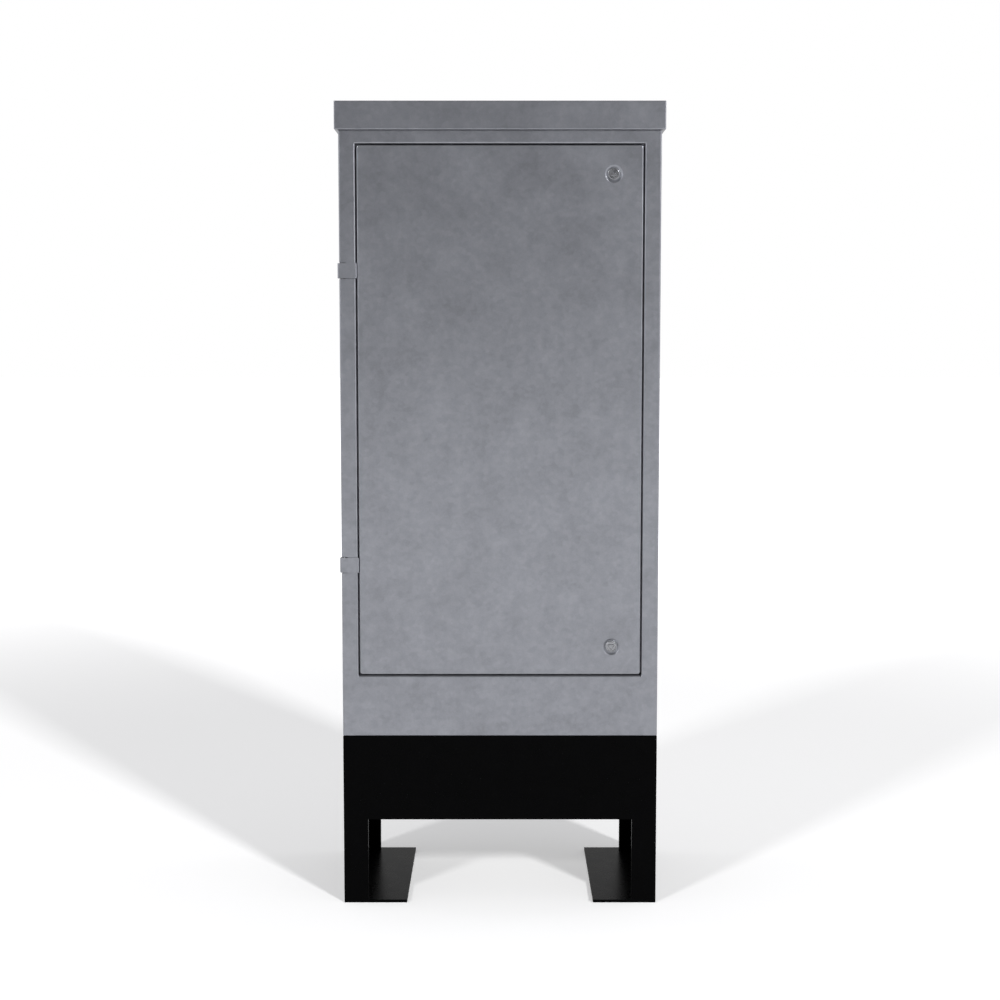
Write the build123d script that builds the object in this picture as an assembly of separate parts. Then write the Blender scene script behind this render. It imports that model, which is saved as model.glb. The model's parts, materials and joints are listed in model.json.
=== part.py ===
from build123d import *
import os

# Feeder pillar: a hooded galvanised cabinet with one flush door, standing on a black root.
# Sizes are in millimetres. The origin is on the ground, under the middle of the pillar.
# The front faces -Y, +X is to the right of somebody who looks at the door, and +Z is up.

# Cabinet
body_width = 600.0
body_depth = 340.0
body_height = 1191.0
sheet = 2.0
bend_inner_radius = 0.5
flange_width = 40.0
rear_return = 25.0
seam_gap = 0.5

# Door opening in the cabinet's front, from the metal left around it
frame_side_width = 31.0
frame_top_width = 75.4
apron_height = 116.8
aperture_corner_radius = 1.0
frame_edge_radius = 3.0
rebate_depth = 24.0
landing_width = 15.0

# Roof
roof_overhang = 7.0
roof_skirt = 52.0
roof_sheet = 2.0
roof_edge_radius = 1.5
roof_hem = 4.0
roof_stud_inset = 24.0
roof_stud_end_inset = 40.0

# Root
root_height = 327.0
root_plate = 6.0
root_edge_radius = 1.2
root_panel_height = 163.0
root_leg_width = 47.0
root_foot_width = 121.0
root_bolt_inset = 24.0
root_side_bolt_end_inset = 55.0
root_end_bolt_side_inset = 180.0

# Door
door_gap = 2.4
door_depth = 20.0
door_edge_radius = 2.5
door_corner_radius = 5.0
door_lip_width = 12.0
stiffener_width = 60.0
stiffener_foot = 15.0
stiffener_depth = 14.0
stiffener_end_gap = 45.0
seal_width = 10.0
seal_edge_inset = 1.0
seal_clearance = 0.3

# Hinges
hinge_end_distance_top = 233.6
hinge_end_distance_bottom = 212.2
strap_height = 28.0
strap_thickness = 2.0
strap_clearance = 0.8
strap_bend_radius = 0.5
strap_leg_depth = 18.0
pivot_inset = 6.0
pin_radius = 2.5
pin_running_clearance = 0.05
pin_head_radius = 4.0
pin_head_height = 1.5
pin_end_length = 1.5
lug_thickness = 4.0
lug_gap = 0.5
bracket_web = 2.5
bracket_depth = 18.0
bracket_width = 19.0
bracket_corner_chamfer = 1.0
slot_height_clearance = 1.5
slot_reach = 12.5

# Locks
lock_side_inset = 55.1
lock_top_inset = 52.9
lock_bottom_inset = 53.7
dish_rim_radius = 16.3
dish_floor_radius = 12.2
dish_depth = 3.0
dish_rim_fillet = 1.2
lock_face_radius = 11.0
lock_face_height = 2.4
lock_face_fillet = 1.6
lock_barrel_radius = 9.0
lock_barrel_clearance = 0.3
lock_well_radius = 8.8
lock_well_clearance = 0.4
lock_nut_flats = 24.0
lock_nut_height = 4.0
key_side = 13.0
key_corner_radius = 1.0
key_height = 2.2
key_edge_chamfer = 0.8
key_collar_height = 1.0
key_seat_clearance = 0.1
spindle_radius = 5.0
spindle_running_clearance = 0.05
spindle_square = 7.0
spindle_square_clearance = 0.1
cam_clearance = 0.5
cam_seat_clearance = 0.1
cam_thickness = 3.0
cam_width = 18.0
cam_reach = 52.0
cam_stud_radius = 3.0
cam_nut_flats = 10.0
cam_nut_height = 5.0
cam_stud_end = 1.5

# Backboard
board_thickness = 18.0
board_side_gap = 38.0
board_end_gap = 24.4
board_edge_radius = 1.0
rail_depth = 25.0
rail_face = 40.0
rail_foot = 15.0
rail_side_gap = 30.0
rail_end_distance = 150.0
board_bolt_side_inset = 40.0

# Fasteners: shank radius, distance across flats, head height, nut height, washer radius and thickness
thread_clearance = 0.1
hole_clearance = 0.5
roof_stud_radius = 3.0
roof_nut_flats = 10.0
roof_nut_height = 5.0
roof_washer_radius = 6.0
roof_washer_thickness = 1.6
root_bolt_radius = 5.0
root_bolt_flats = 17.0
root_bolt_head = 6.4
root_nut_height = 8.4
root_washer_radius = 10.0
root_washer_thickness = 2.0
board_bolt_radius = 4.0
board_bolt_flats = 13.0
board_bolt_head = 5.3
board_nut_height = 6.8
board_washer_radius = 12.0
board_washer_thickness = 1.6
earth_stud_radius = 4.0
earth_stud_length = 26.0
earth_stud_height = 54.2
earth_neck_radius = 3.4
earth_neck_length = 1.0
earth_nut_flats = 13.0
earth_nut_height = 6.5
earth_washer_radius = 8.0
earth_washer_thickness = 1.6
door_stud_side_inset = 45.0
bolt_end = 3.0

# Working margins: how far a cut runs past the metal, and how near an edge lies to its picked place
cut_margin = 1.0
pick_margin = 0.05

# Worked out from the sizes above
half_width = body_width / 2
front_y = -body_depth / 2
rear_y = body_depth / 2
body_bottom = root_height
body_top = root_height + body_height
bend_outer_radius = bend_inner_radius + sheet
shell_rear_y = rear_y - sheet

aperture_width = body_width - 2 * frame_side_width
aperture_height = body_height - apron_height - frame_top_width
aperture_bottom = body_bottom + apron_height
aperture_top = aperture_bottom + aperture_height
aperture_centre = (aperture_bottom + aperture_top) / 2
landing_front_y = front_y + rebate_depth
landing_rear_y = landing_front_y + sheet

door_width = aperture_width - 2 * door_gap
door_height = aperture_height - 2 * door_gap
door_left = -door_width / 2
door_right = door_width / 2
door_bottom = aperture_bottom + door_gap
door_top = aperture_top - door_gap
door_inner_y = front_y + sheet
door_rear_y = front_y + door_depth

strap_side_x = -half_width - strap_clearance - strap_thickness
strap_front_y = front_y - strap_clearance - strap_thickness
pivot_x = -half_width + pivot_inset
pivot_y = front_y + pivot_inset
bore_radius = pin_radius + pin_running_clearance
eye_radius = bore_radius + strap_thickness
hinge_heights = {
    "upper": aperture_top - hinge_end_distance_top,
    "lower": aperture_bottom + hinge_end_distance_bottom,
}

lock_x = door_right - lock_side_inset
lock_heights = {"upper": door_top - lock_top_inset, "lower": door_bottom + lock_bottom_inset}
lock_key_turn = {"upper": 0.0, "lower": 180.0}
cam_rest_turn = {"upper": 180.0, "lower": 0.0}
dish_floor_y = front_y + dish_depth
dish_back_y = dish_floor_y + sheet
cam_front_y = landing_rear_y + cam_clearance
cam_rear_y = cam_front_y + cam_thickness
barrel_rear_y = cam_front_y - key_seat_clearance

board_rear_y = shell_rear_y - rail_depth
board_front_y = board_rear_y - board_thickness
board_centre = aperture_centre
board_width = body_width - 2 * (sheet + board_side_gap)
board_height = aperture_height - 2 * board_end_gap
rail_length = body_width - 2 * (sheet + rail_side_gap)
rail_heights = [
    board_centre - board_height / 2 + rail_end_distance,
    board_centre + board_height / 2 - rail_end_distance,
]
board_bolt_x = board_width / 2 - board_bolt_side_inset


def span_box(x_range, y_range, z_range):
    """A block between two values on each axis."""
    middle = [(low + high) / 2 for low, high in (x_range, y_range, z_range)]
    lengths = [high - low for low, high in (x_range, y_range, z_range)]
    return Pos(*middle) * Box(*lengths)


def rounded_box(x_range, y_range, z_range, radius):
    """A block with all its edges rounded."""
    block = span_box(x_range, y_range, z_range)
    return fillet(block.edges(), radius)


def folded_box(x_range, y_range, z_range, thickness, outer_radius, inner_radius):
    """A closed box of folded sheet, to be opened by later cuts."""
    outer = rounded_box(x_range, y_range, z_range, outer_radius)
    inner_ranges = [(low + thickness, high - thickness) for low, high in (x_range, y_range, z_range)]
    return outer - rounded_box(*inner_ranges, inner_radius)


def front_plane(x, y, z):
    """A plane that faces the front, with its local axes along X and Z."""
    return Plane(origin=(x, y, z), x_dir=(1, 0, 0), z_dir=(0, -1, 0))


def front_prism(width, height, corner_radius, centre, y_range):
    """A block with corners rounded in the front view. The centre is an X and a Z value."""
    outline = front_plane(centre[0], y_range[1], centre[1]) * RectangleRounded(width, height, corner_radius)
    return extrude(outline, amount=y_range[1] - y_range[0])


def soft_prism(width, height, corner_radius, centre, y_range, rim_radius):
    """A block like front_prism, whose front and rear outlines are rounded too."""
    block = front_prism(width, height, corner_radius, centre, y_range)
    rims = [edge for y in y_range for edge in block.edges().filter_by_position(Axis.Y, y, y)]
    return fillet(rims, rim_radius)


def front_disc(radius, centre, y_range):
    """A round bar along Y. The centre is an X and a Z value."""
    outline = front_plane(centre[0], y_range[1], centre[1]) * Circle(radius)
    return extrude(outline, amount=y_range[1] - y_range[0])


def front_hexagon(flats, centre, y_range):
    """A hexagonal bar along Y. The centre is an X and a Z value."""
    outline = front_plane(centre[0], y_range[1], centre[1]) * RegularPolygon(flats / 2, 6, major_radius=False)
    return extrude(outline, amount=y_range[1] - y_range[0])


def upright_bar(radius, x, y, z_range):
    """A round bar along Z."""
    return extrude(Pos(x, y, z_range[0]) * Circle(radius), amount=z_range[1] - z_range[0])


def upright_hexagon(flats, x, y, z_range):
    """A hexagonal bar along Z."""
    outline = Pos(x, y, z_range[0]) * RegularPolygon(flats / 2, 6, major_radius=False)
    return extrude(outline, amount=z_range[1] - z_range[0])


def group(solids):
    """Several alike pieces in one node, each still a solid of its own."""
    return Compound(children=list(solids))


def roof_stud_places():
    """The plan positions of the roof's studs, on the cabinet's two side flanges."""
    x = half_width - roof_stud_inset
    y = rear_y - roof_stud_end_inset
    return [(side * x, step * y) for side in (-1, 1) for step in (-1, 0, 1)]


def root_bolt_places():
    """The plan positions of the bolts that hold the cabinet on its root."""
    side_x = half_width - root_bolt_inset
    side_y = rear_y - root_side_bolt_end_inset
    end_x = half_width - root_end_bolt_side_inset
    end_y = rear_y - root_bolt_inset
    sides = [(side * side_x, step * side_y) for side in (-1, 1) for step in (-1, 0, 1)]
    ends = [(side * end_x, end * end_y) for side in (-1, 1) for end in (-1, 1)]
    return sides + ends


def drill(shape, places, radius, z_range):
    """Cut upright holes at the given plan positions."""
    for x, y in places:
        shape -= upright_bar(radius, x, y, z_range)
    return shape


def make_body_shell():
    """Front, sides, rear returns and flanges of the cabinet, as one folded sheet."""
    shell = folded_box(
        (-half_width, half_width),
        (front_y, shell_rear_y),
        (body_bottom, body_top),
        sheet,
        bend_outer_radius,
        bend_inner_radius,
    )
    past_rear = shell_rear_y + sheet
    past_ends = (body_bottom - sheet, body_top + sheet)
    rear_opening = half_width - rear_return
    shell -= span_box((-rear_opening, rear_opening), (shell_rear_y - 2 * sheet, past_rear), past_ends)
    end_opening = half_width - flange_width
    shell -= span_box((-end_opening, end_opening), (front_y + flange_width, past_rear), past_ends)

    centre = (0, aperture_centre)
    frame_back = (front_y + sheet / 2, landing_rear_y)
    tube = front_prism(
        aperture_width + 2 * sheet,
        aperture_height + 2 * sheet,
        aperture_corner_radius + sheet,
        centre,
        frame_back,
    )
    opening = front_prism(
        aperture_width, aperture_height, aperture_corner_radius, centre, (front_y - sheet, landing_front_y)
    )
    landing_opening = front_prism(
        aperture_width - 2 * landing_width,
        aperture_height - 2 * landing_width,
        aperture_corner_radius,
        centre,
        (front_y - sheet, landing_rear_y + sheet),
    )
    shell = shell + tube - opening - landing_opening

    rim = [
        edge
        for edge in shell.edges().filter_by_position(Axis.Y, front_y - pick_margin, front_y + pick_margin)
        if abs(edge.center().X) < aperture_width / 2 + pick_margin
        and aperture_bottom - pick_margin < edge.center().Z < aperture_top + pick_margin
    ]
    shell = fillet(rim, frame_edge_radius)

    half_slot = strap_height / 2 + slot_height_clearance
    slot_front = (-half_width - cut_margin, pivot_x + eye_radius + 2 * strap_clearance)
    slot_side = (-half_width - cut_margin, -half_width + sheet + 2 * bend_inner_radius)
    for z in hinge_heights.values():
        heights = (z - half_slot, z + half_slot)
        shell -= span_box(
            slot_front, (front_y - cut_margin, front_y + sheet + 2 * bend_inner_radius), heights
        )
        shell -= span_box(slot_side, (front_y - cut_margin, pivot_y + slot_reach), heights)

    top_holes = (body_top - 2 * sheet, body_top + sheet)
    bottom_holes = (body_bottom - sheet, body_bottom + 2 * sheet)
    shell = drill(shell, roof_stud_places(), roof_stud_radius + hole_clearance, top_holes)
    shell = drill(shell, root_bolt_places(), root_bolt_radius + hole_clearance, bottom_holes)
    return shell


def make_rear_panel():
    """The welded back: a flat sheet over the rear returns, with folded end flanges."""
    reach = half_width - bend_outer_radius
    wall = span_box(
        (-reach, reach),
        (shell_rear_y, rear_y),
        (body_bottom + bend_outer_radius, body_top - bend_outer_radius),
    )
    inner_reach = half_width - flange_width - seam_gap
    tray = folded_box(
        (-inner_reach, inner_reach),
        (front_y, rear_y),
        (body_bottom, body_top),
        sheet,
        bend_outer_radius,
        bend_inner_radius,
    )
    tray &= span_box(
        (-inner_reach + bend_outer_radius, inner_reach - bend_outer_radius),
        (rear_y - flange_width, rear_y),
        (body_bottom, body_top),
    )
    panel = wall + tray
    holes = (body_bottom - sheet, body_bottom + 2 * sheet)
    return drill(panel, root_bolt_places(), root_bolt_radius + hole_clearance, holes)


def make_roof_hood():
    """The lid: a folded sheet with a deep skirt and a hem turned in under it."""
    half_x = half_width + roof_overhang
    half_y = rear_y + roof_overhang
    bottom = body_top + roof_sheet - roof_skirt
    outer = fillet(
        span_box((-half_x, half_x), (-half_y, half_y), (bottom, body_top + roof_sheet)).edges(),
        roof_edge_radius,
    )
    inner = span_box(
        (-half_x + roof_sheet, half_x - roof_sheet),
        (-half_y + roof_sheet, half_y - roof_sheet),
        (bottom + roof_sheet, body_top),
    )
    mouth_x = half_x - roof_sheet - roof_hem
    mouth_y = half_y - roof_sheet - roof_hem
    mouth = span_box((-mouth_x, mouth_x), (-mouth_y, mouth_y), (bottom - cut_margin, body_top - roof_sheet))
    return outer - inner - mouth


def make_roof_fixings():
    """Studs welded under the lid, each with a washer and a nut below the cabinet's flange."""
    flange_under = body_top - sheet
    washer_under = flange_under - roof_washer_thickness
    nut_under = washer_under - roof_nut_height
    bore = roof_stud_radius + thread_clearance
    studs = []
    washers = []
    nuts = []
    for x, y in roof_stud_places():
        studs.append(upright_bar(roof_stud_radius, x, y, (nut_under - bolt_end, body_top)))
        ring = upright_bar(roof_washer_radius, x, y, (washer_under, flange_under))
        washers.append(ring - upright_bar(bore, x, y, (washer_under, flange_under)))
        nut = upright_hexagon(roof_nut_flats, x, y, (nut_under, washer_under))
        nuts.append(nut - upright_bar(bore, x, y, (nut_under, washer_under)))
    return {"roof_studs": group(studs), "roof_washers": group(washers), "roof_nuts": group(nuts)}


def make_root_side(side):
    """One side of the root: wall, front and rear legs, top flange and foot flange."""
    inner_edge = half_width - root_foot_width
    outer = fillet(
        span_box((inner_edge, half_width), (front_y, rear_y), (0, root_height)).edges(),
        root_edge_radius,
    )
    hollow = span_box(
        (inner_edge - root_plate, half_width - root_plate),
        (front_y + root_plate, rear_y - root_plate),
        (root_plate, root_height - root_plate),
    )
    leg_inner = half_width - root_leg_width
    trim = span_box(
        (inner_edge - root_plate, leg_inner),
        (front_y - root_plate, rear_y + root_plate),
        (root_plate, root_height + root_plate),
    )
    panel = outer - hollow - trim
    holes = (root_height - 2 * root_plate, root_height + root_plate)
    if side < 0:
        panel = mirror(panel, about=Plane.YZ)
    return drill(panel, root_bolt_places(), root_bolt_radius + hole_clearance, holes)


def make_root_end(end):
    """The front or rear panel of the root, between the legs, with a flange folded inwards."""
    reach = half_width - root_leg_width
    bottom = root_height - root_panel_height
    outline = Polyline(
        (rear_y, bottom),
        (rear_y, root_height),
        (rear_y - flange_width, root_height),
        (rear_y - flange_width, root_height - root_plate),
        (rear_y - root_plate, root_height - root_plate),
        (rear_y - root_plate, bottom),
        close=True,
    )
    section = Plane.YZ.offset(-reach) * make_face(outline)
    panel = extrude(section, amount=2 * reach)
    if end < 0:
        panel = mirror(panel, about=Plane.XZ)
    holes = (root_height - 2 * root_plate, root_height + root_plate)
    return drill(panel, root_bolt_places(), root_bolt_radius + hole_clearance, holes)


def make_root_fixings():
    """Bolts from inside the cabinet, through both flanges, with a washer each side and a nut."""
    seat = body_bottom + sheet
    head_under = seat + root_washer_thickness
    flange_under = root_height - root_plate
    nut_top = flange_under - root_washer_thickness
    nut_under = nut_top - root_nut_height
    bore = root_bolt_radius + thread_clearance
    bolts = []
    washers = []
    nuts = []
    for x, y in root_bolt_places():
        head = upright_hexagon(root_bolt_flats, x, y, (head_under, head_under + root_bolt_head))
        bolts.append(head + upright_bar(root_bolt_radius, x, y, (nut_under - bolt_end, head_under)))
        for heights in ((seat, head_under), (nut_top, flange_under)):
            ring = upright_bar(root_washer_radius, x, y, heights)
            washers.append(ring - upright_bar(bore, x, y, heights))
        nut = upright_hexagon(root_bolt_flats, x, y, (nut_under, nut_top))
        nuts.append(nut - upright_bar(bore, x, y, (nut_under, nut_top)))
    return {"root_bolts": group(bolts), "root_washers": group(washers), "root_nuts": group(nuts)}


def lock_dish(x, z):
    """The pressed dish behind a lock's hole in the door, as added metal and as the cut in front."""
    place = front_plane(x, front_y, z)
    metal_outline = Polyline(
        (0, -sheet / 2),
        (dish_rim_radius + sheet, -sheet / 2),
        (dish_rim_radius + sheet, -sheet),
        (dish_floor_radius + sheet, -dish_depth - sheet),
        (0, -dish_depth - sheet),
        close=True,
    )
    cut_outline = Polyline(
        (0, sheet),
        (dish_rim_radius, sheet),
        (dish_rim_radius, 0),
        (dish_floor_radius, -dish_depth),
        (0, -dish_depth),
        close=True,
    )
    solids = []
    for outline in (metal_outline, cut_outline):
        section = Plane.XZ * make_face(outline)
        solids.append(place * revolve(section, axis=Axis.Z))
    return solids


def make_door_panel():
    """The door: a folded tray with turned-in lips and a pressed dish for each lock."""
    centre = (0, aperture_centre)
    outer_range = (front_y, door_rear_y)
    inner_range = (front_y + sheet, door_rear_y - sheet)
    door = soft_prism(door_width, door_height, door_corner_radius, centre, outer_range, door_edge_radius)
    door -= soft_prism(
        door_width - 2 * sheet,
        door_height - 2 * sheet,
        door_corner_radius - sheet,
        centre,
        inner_range,
        bend_inner_radius,
    )
    door -= front_prism(
        door_width - 2 * door_lip_width,
        door_height - 2 * door_lip_width,
        aperture_corner_radius,
        centre,
        (door_rear_y - sheet - cut_margin, door_rear_y + cut_margin),
    )
    for z in lock_heights.values():
        metal, cut = lock_dish(lock_x, z)
        hole = front_disc(lock_barrel_radius + lock_barrel_clearance, (lock_x, z), (front_y, door_rear_y))
        door = door + metal - cut - hole
        rim = [
            edge
            for edge in door.edges().filter_by(GeomType.CIRCLE)
            if abs(edge.arc_center.X - lock_x) < pick_margin
            and abs(edge.arc_center.Y - front_y) < pick_margin
            and abs(edge.arc_center.Z - z) < pick_margin
        ]
        door = fillet(rim, dish_rim_fillet)
    return door


def make_door_stiffener():
    """An upright top-hat section welded inside the door."""
    half = stiffener_width / 2
    inner = half - stiffener_foot
    crown_y = door_inner_y + stiffener_depth
    outline = Polyline(
        (-half, door_inner_y),
        (-inner + sheet, door_inner_y),
        (-inner + sheet, crown_y - sheet),
        (inner - sheet, crown_y - sheet),
        (inner - sheet, door_inner_y),
        (half, door_inner_y),
        (half, door_inner_y + sheet),
        (inner, door_inner_y + sheet),
        (inner, crown_y),
        (-inner, crown_y),
        (-inner, door_inner_y + sheet),
        (-half, door_inner_y + sheet),
        close=True,
    )
    bottom = door_bottom + stiffener_end_gap
    section = Pos(0, 0, bottom) * make_face(outline)
    return extrude(section, amount=door_height - 2 * stiffener_end_gap)


def make_door_seal():
    """The foam strip on the door's lips, just clear of the landing while the door is shut."""
    y_range = (door_rear_y, landing_front_y - seal_clearance)
    centre = (0, aperture_centre)
    outer_inset = door_edge_radius + seal_edge_inset
    inner_inset = outer_inset + seal_width - seal_edge_inset
    ring = front_prism(
        door_width - 2 * outer_inset,
        door_height - 2 * outer_inset,
        aperture_corner_radius,
        centre,
        y_range,
    )
    return ring - front_prism(
        door_width - 2 * inner_inset,
        door_height - 2 * inner_inset,
        aperture_corner_radius,
        centre,
        y_range,
    )


def make_hinge_strap(z):
    """A flat bar from the door's edge, over the frame and round the corner to a rolled eye."""
    rear = front_y + strap_leg_depth
    eye_rear = pivot_y + eye_radius
    inner_x = door_left - strap_thickness
    inner_y = strap_front_y + strap_thickness
    side_inner_x = strap_side_x + strap_thickness
    outer_points = [
        (door_left, rear),
        (door_left, strap_front_y),
        (strap_side_x, strap_front_y),
        (strap_side_x, eye_rear),
        (pivot_x, eye_rear),
    ]
    inner_points = [
        (inner_x, rear),
        (inner_x, inner_y),
        (side_inner_x, inner_y),
        (side_inner_x, eye_rear - strap_thickness),
        (pivot_x, eye_rear - strap_thickness),
    ]
    outer = FilletPolyline(*outer_points, radius=strap_bend_radius + strap_thickness)
    inner = FilletPolyline(*inner_points, radius=strap_bend_radius)
    ends = [Line(outer_points[0], inner_points[0]), Line(outer_points[-1], inner_points[-1])]
    bar = make_face(Curve() + [outer, inner, *ends])
    eye = Pos(pivot_x, pivot_y) * Circle(eye_radius)
    bore = Pos(pivot_x, pivot_y) * Circle(bore_radius)
    return extrude(Pos(0, 0, z - strap_height / 2) * (bar + eye - bore), amount=strap_height)


def make_hinge_bracket(z):
    """A U bracket in the cabinet's corner, whose two lugs hold the hinge pin."""
    inner_x = -half_width + sheet
    inner_y = front_y + sheet
    half_gap = strap_height / 2 + lug_gap
    half_height = half_gap + lug_thickness
    block = span_box(
        (inner_x, inner_x + bracket_width),
        (inner_y, inner_y + bracket_depth),
        (z - half_height, z + half_height),
    )
    corner = block.edges().filter_by(Axis.Z).sort_by(lambda edge: edge.center().X + edge.center().Y)[0]
    block = chamfer(corner, bracket_corner_chamfer)
    gap = span_box(
        (inner_x - cut_margin, inner_x + bracket_width - bracket_web),
        (inner_y - cut_margin, inner_y + bracket_depth + cut_margin),
        (z - half_gap, z + half_gap),
    )
    return block - gap - upright_bar(bore_radius, pivot_x, pivot_y, (z - half_height, z + half_height))


def make_hinge_pin(z):
    """A headed pin that drops through the bracket's lugs and the strap's eye."""
    half_height = strap_height / 2 + lug_gap + lug_thickness
    shank = upright_bar(pin_radius, pivot_x, pivot_y, (z - half_height - pin_end_length, z + half_height))
    head_range = (z + half_height, z + half_height + pin_head_height)
    return shank + upright_bar(pin_head_radius, pivot_x, pivot_y, head_range)


def make_lock_housing(z):
    """The lock's fixed body: a round face in the dish, and a barrel through the door."""
    centre = (lock_x, z)
    face_front_y = dish_floor_y - lock_face_height
    face = front_disc(lock_face_radius, centre, (face_front_y, dish_floor_y))
    front_edge = face.edges().filter_by(GeomType.CIRCLE).sort_by(Axis.Y)[0]
    face = fillet(front_edge, lock_face_fillet)
    barrel = front_disc(lock_barrel_radius, centre, (dish_floor_y, barrel_rear_y))
    well = front_disc(lock_well_radius, centre, (face_front_y - cut_margin, dish_floor_y))
    bore = front_disc(
        spindle_radius + spindle_running_clearance, centre, (front_y, barrel_rear_y + cut_margin)
    )
    return face + barrel - well - bore


def make_lock_nut(z):
    """The nut behind the door that clamps the lock's barrel."""
    centre = (lock_x, z)
    y_range = (dish_back_y, dish_back_y + lock_nut_height)
    nut = front_hexagon(lock_nut_flats, centre, y_range)
    return nut - front_disc(lock_barrel_radius + thread_clearance, centre, y_range)


def make_lock_spindle(z, key_turn):
    """The turning core: a triangular key head, a shaft, a square for the cam and a threaded end."""
    centre = (lock_x, z)
    collar_rear_y = dish_floor_y - key_seat_clearance
    collar_front_y = collar_rear_y - key_collar_height
    collar = front_disc(lock_well_radius - lock_well_clearance, centre, (collar_front_y, collar_rear_y))
    key_radius = key_side / 3 ** 0.5
    key_outline = Rot(0, 0, 90) * RegularPolygon(key_radius, 3)
    key_outline = fillet(key_outline.vertices(), key_corner_radius)
    key = extrude(
        front_plane(lock_x, collar_front_y, z) * (Rot(0, 0, key_turn) * key_outline), amount=key_height
    )
    key_front_y = collar_front_y - key_height
    key = chamfer(key.edges().filter_by_position(Axis.Y, key_front_y, key_front_y), key_edge_chamfer)
    shaft = front_disc(spindle_radius, centre, (collar_rear_y, cam_front_y - cam_seat_clearance))
    square_rear_y = cam_rear_y - cam_seat_clearance
    square_place = front_plane(lock_x, square_rear_y, z)
    square = extrude(
        square_place * Rectangle(spindle_square, spindle_square),
        amount=square_rear_y - cam_front_y + cam_seat_clearance,
    )
    stud_rear_y = cam_rear_y + cam_seat_clearance + cam_nut_height + cam_stud_end
    stud = front_disc(cam_stud_radius, centre, (square_rear_y, stud_rear_y))
    return collar + key + shaft + square + stud


def make_lock_cam(z, turn):
    """The flat cam on the spindle's square. It swings behind the landing when the key turns."""
    end_radius = cam_width / 2
    length = cam_reach - end_radius
    outline = Pos(0, length / 2) * SlotCenterToCenter(length, cam_width, rotation=90)
    hole_side = spindle_square + 2 * spindle_square_clearance
    outline = outline - Rectangle(hole_side, hole_side)
    return extrude(front_plane(lock_x, cam_rear_y, z) * (Rot(0, 0, turn) * outline), amount=cam_thickness)


def make_cam_nut(z):
    """The nut that holds the cam on its spindle."""
    centre = (lock_x, z)
    front = cam_rear_y + cam_seat_clearance
    y_range = (front, front + cam_nut_height)
    nut = front_hexagon(cam_nut_flats, centre, y_range)
    return nut - front_disc(cam_stud_radius + thread_clearance, centre, y_range)


def make_rail(z):
    """A level top-hat rail welded to the back, which holds the backboard off it."""
    half = rail_face / 2 + rail_foot
    inner = rail_face / 2
    crown_y = board_rear_y
    outline = Polyline(
        (shell_rear_y, -half),
        (shell_rear_y, -inner + sheet),
        (crown_y + sheet, -inner + sheet),
        (crown_y + sheet, inner - sheet),
        (shell_rear_y, inner - sheet),
        (shell_rear_y, half),
        (shell_rear_y - sheet, half),
        (shell_rear_y - sheet, inner),
        (crown_y, inner),
        (crown_y, -inner),
        (shell_rear_y - sheet, -inner),
        (shell_rear_y - sheet, -half),
        close=True,
    )
    section = Plane.YZ.offset(-rail_length / 2) * (Pos(0, z) * make_face(outline))
    rail = extrude(section, amount=rail_length)
    for side in (-1, 1):
        rail -= front_disc(
            board_bolt_radius + hole_clearance,
            (side * board_bolt_x, z),
            (crown_y - cut_margin, crown_y + sheet + cut_margin),
        )
    return rail


def make_backboard():
    """The plywood board that carries the equipment."""
    low = board_centre - board_height / 2
    board = span_box(
        (-board_width / 2, board_width / 2), (board_front_y, board_rear_y), (low, low + board_height)
    )
    board = fillet(board.edges(), board_edge_radius)
    for z in rail_heights:
        for side in (-1, 1):
            board -= front_disc(
                board_bolt_radius + hole_clearance,
                (side * board_bolt_x, z),
                (board_front_y - cut_margin, board_rear_y + cut_margin),
            )
    return board


def make_board_fixings():
    """Bolts through the board into nuts inside the rails."""
    head_rear_y = board_front_y - board_washer_thickness
    nut_front_y = board_rear_y + sheet
    nut_rear_y = nut_front_y + board_nut_height
    bore = board_bolt_radius + thread_clearance
    bolts = []
    washers = []
    nuts = []
    for z in rail_heights:
        for side in (-1, 1):
            centre = (side * board_bolt_x, z)
            head = front_hexagon(board_bolt_flats, centre, (head_rear_y - board_bolt_head, head_rear_y))
            shank = front_disc(board_bolt_radius, centre, (head_rear_y, nut_rear_y + bolt_end))
            bolts.append(head + shank)
            ring = front_disc(board_washer_radius, centre, (head_rear_y, board_front_y))
            washers.append(ring - front_disc(bore, centre, (head_rear_y, board_front_y)))
            nut = front_hexagon(board_bolt_flats, centre, (nut_front_y, nut_rear_y))
            nuts.append(nut - front_disc(bore, centre, (nut_front_y, nut_rear_y)))
    return {"board_bolts": group(bolts), "board_washers": group(washers), "board_nuts": group(nuts)}


def make_earth_point():
    """A stud with its washer and nut, on the XY plane. A neck sets off its free end."""
    washer_top = earth_washer_thickness
    nut_top = washer_top + earth_nut_height
    neck_top = nut_top + earth_neck_length
    bore = earth_stud_radius + thread_clearance
    stud = (
        upright_bar(earth_stud_radius, 0, 0, (0, nut_top))
        + upright_bar(earth_neck_radius, 0, 0, (nut_top, neck_top))
        + upright_bar(earth_stud_radius, 0, 0, (neck_top, earth_stud_length))
    )
    washer = upright_bar(earth_washer_radius, 0, 0, (0, washer_top))
    washer -= upright_bar(bore, 0, 0, (0, washer_top))
    nut = upright_hexagon(earth_nut_flats, 0, 0, (washer_top, nut_top))
    nut -= upright_bar(bore, 0, 0, (washer_top, nut_top))
    return stud, washer, nut


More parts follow.
